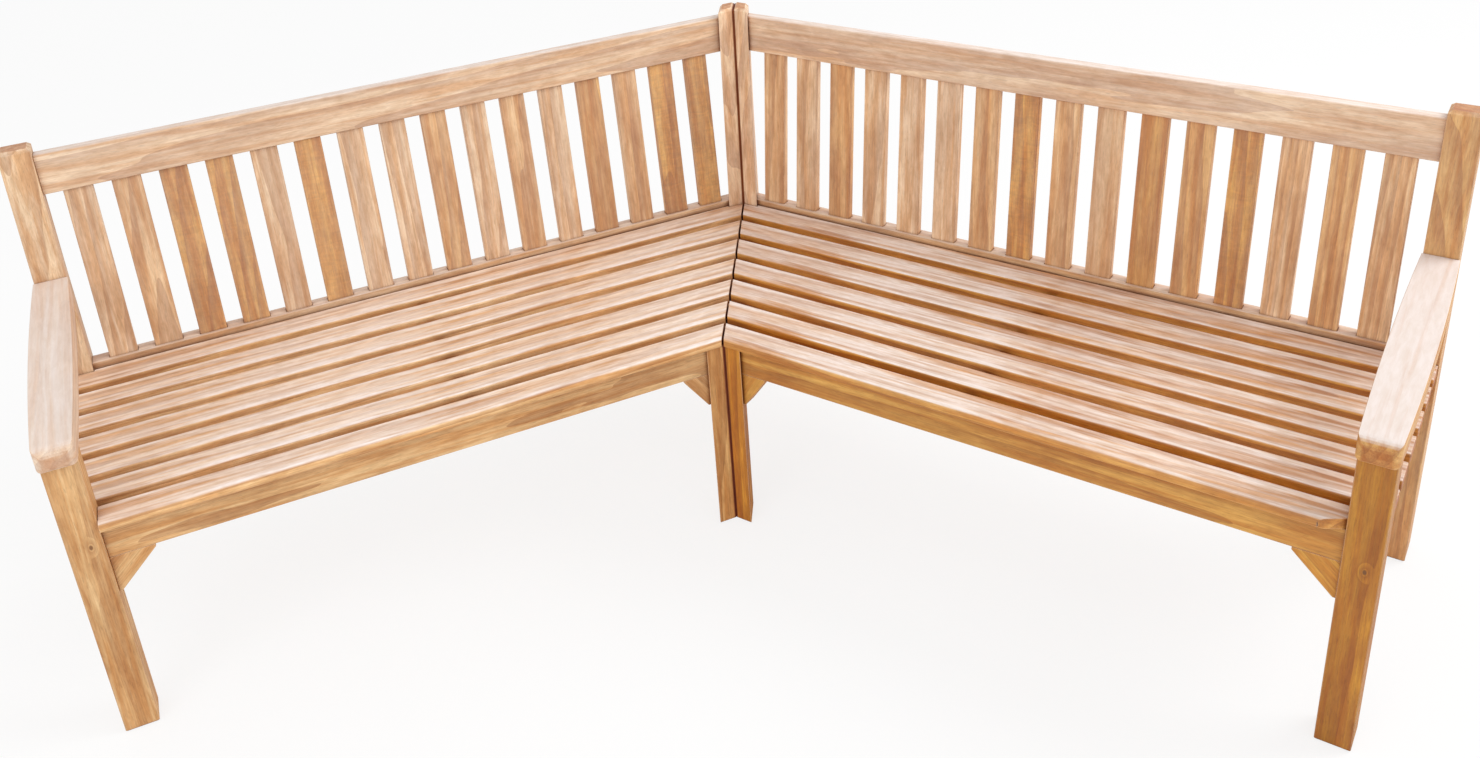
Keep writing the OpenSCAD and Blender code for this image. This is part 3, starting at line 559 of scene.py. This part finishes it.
def easeEdges(obj):
    # The loose triangles are welded, then each edge gets a small round
    for layer in ("custom_normal", "sharp_edge", "sharp_face"):
        if layer in obj.data.attributes:
            obj.data.attributes.remove(obj.data.attributes[layer])
    weld = obj.modifiers.new("weld", "WELD")
    weld.merge_threshold = arris["weld"] / 1000
    bevel = obj.modifiers.new("eased arrises", "BEVEL")
    bevel.width = arris["width"] / 1000
    bevel.segments = arris["segments"]
    bevel.limit_method = "ANGLE"
    bevel.angle_limit = math.radians(arris["leastTurn"])
    bevel.harden_normals = True
    bevel.use_clamp_overlap = False
    flat = obj.modifiers.new("flat faces stay flat", "WEIGHTED_NORMAL")
    flat.keep_sharp = False


for name, obj in sorted(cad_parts.items()):
    obj.data.materials.clear()
    stem = name.replace("_right", "").replace("_left", "").rstrip("0123456789_")
    if stem in boardLook:
        axes = boardAxes(stem, "right" if name.endswith("right") else "left")
        obj.data.materials.append(teakMaterial(name, stem, obj, axes, random.Random(name)))
        easeEdges(obj)
    else:
        obj.data.materials.append(steelMaterial(name))
print("teak and steel laid on")

# Pale studio: a floor that shows white but keeps the shadow, white all round
studio = {
    "floorSize": 24.0,          # metres
    "floorColour": "#F7F7F7",
    "floorGlow": 0.8,           # how much of the floor that the camera sees is plain white
    "fill": 0.8,                # what the white surroundings give the bench
}
# Two soft discs: the key from the right, and a weak one from the front left that opens the shade
lamps = {
    "key": {"power": 100.0, "size": 2.6, "place": (3.9, 0.2, 3.5), "target": (0.2, -0.3, 0.4)},
    "front": {"power": 45.0, "size": 3.0, "place": (-1.8, -4.0, 2.6), "target": (0.3, -0.2, 0.5)},
}


def makeFloor():
    half = studio["floorSize"] / 2
    mesh = bpy.data.meshes.new("floor")
    corners = np.array([(-1, -1, 0), (1, -1, 0), (1, 1, 0), (-1, 1, 0)]) * half
    mesh.from_pydata(corners.tolist(), [], [(0, 1, 2, 3)])
    floor = bpy.data.objects.new("floor", mesh)
    bpy.context.scene.collection.objects.link(floor)
    material = newMaterial("matt white paper floor")
    tree = material.node_tree
    paper = addNode(tree, "ShaderNodeBsdfDiffuse", {"Color": linear(studio["floorColour"])})
    glow = addNode(tree, "ShaderNodeEmission", {"Color": (1, 1, 1, 1), "Strength": 1.0})
    ray = addNode(tree, "ShaderNodeLightPath")
    share = addNode(tree, "ShaderNodeMath", {
        0: ray.outputs["Is Camera Ray"], 1: studio["floorGlow"],
    }, operation="MULTIPLY")
    mixed = addNode(tree, "ShaderNodeMixShader", {
        0: share.outputs[0], 1: paper.outputs[0], 2: glow.outputs[0],
    })
    addNode(tree, "ShaderNodeOutputMaterial", {"Surface": mixed.outputs[0]})
    mesh.materials.append(material)


def makeWorld():
    world = bpy.data.worlds.new("white studio")
    bpy.context.scene.world = world
    world.use_nodes = True
    tree = world.node_tree
    tree.nodes.clear()
    ray = addNode(tree, "ShaderNodeLightPath")
    seen = addNode(tree, "ShaderNodeMath", {
        0: ray.outputs["Is Camera Ray"], 1: ray.outputs["Is Glossy Ray"],
    }, operation="MAXIMUM")
    shown = addNode(tree, "ShaderNodeMath", {
        0: seen.outputs[0], 1: ray.outputs["Is Transmission Ray"],
    }, operation="MAXIMUM")
    strength = addNode(tree, "ShaderNodeMapRange", {
        "Value": shown.outputs[0], "To Min": studio["fill"], "To Max": 1.0,
    })
    sky = addNode(tree, "ShaderNodeBackground", {
        "Color": (1, 1, 1, 1), "Strength": strength.outputs["Result"],
    })
    addNode(tree, "ShaderNodeOutputWorld", {"Surface": sky.outputs[0]})


def makeLamp(name, lamp):
    light = bpy.data.lights.new(name, "AREA")
    light.shape = "DISK"
    light.size = lamp["size"]
    light.energy = lamp["power"]
    disc = bpy.data.objects.new(name, light)
    bpy.context.scene.collection.objects.link(disc)
    place, target = Vector(lamp["place"]), Vector(lamp["target"])
    disc.location = place
    disc.rotation_euler = (place - target).to_track_quat("Z", "Y").to_euler()
    disc.visible_camera = False


makeFloor()
makeWorld()
for name, lamp in lamps.items():
    makeLamp(name, lamp)
print("studio set")

# The photograph's view, solved from its slat edges; the frame is 1480 by 758
view = {
    "place": (0.27165, -2.2398, 1.80401),
    "yaw": -5.912, "pitch": 23.782, "roll": 3.856,
    "focal": 1330.08,               # pixels
    "middle": (733.36, 150.0),      # pixels: where the lens axis meets the frame
    "frameSize": (1480, 758),
    "sensorWidth": 36.0,            # mm
}


def makeCamera():
    data = bpy.data.cameras.new("photo view")
    camera = bpy.data.objects.new("photo view", data)
    bpy.context.scene.collection.objects.link(camera)
    wide, tall = view["frameSize"]
    data.sensor_fit = "HORIZONTAL"
    data.sensor_width = view["sensorWidth"]
    data.lens = view["focal"] / wide * view["sensorWidth"]
    data.shift_x = (wide / 2 - view["middle"][0]) / wide
    data.shift_y = (view["middle"][1] - tall / 2) / wide
    yaw, pitch, roll = (math.radians(view[key]) for key in ("yaw", "pitch", "roll"))
    camera.matrix_world = (
        Matrix.Translation(view["place"]) @ Matrix.Rotation(-yaw, 4, "Z")
        @ Matrix.Rotation(math.pi / 2 - pitch, 4, "X") @ Matrix.Rotation(-roll, 4, "Z")
    )
    bpy.context.scene.camera = camera


makeCamera()
bpy.context.scene.view_settings.view_transform = "Standard"
print("camera set")
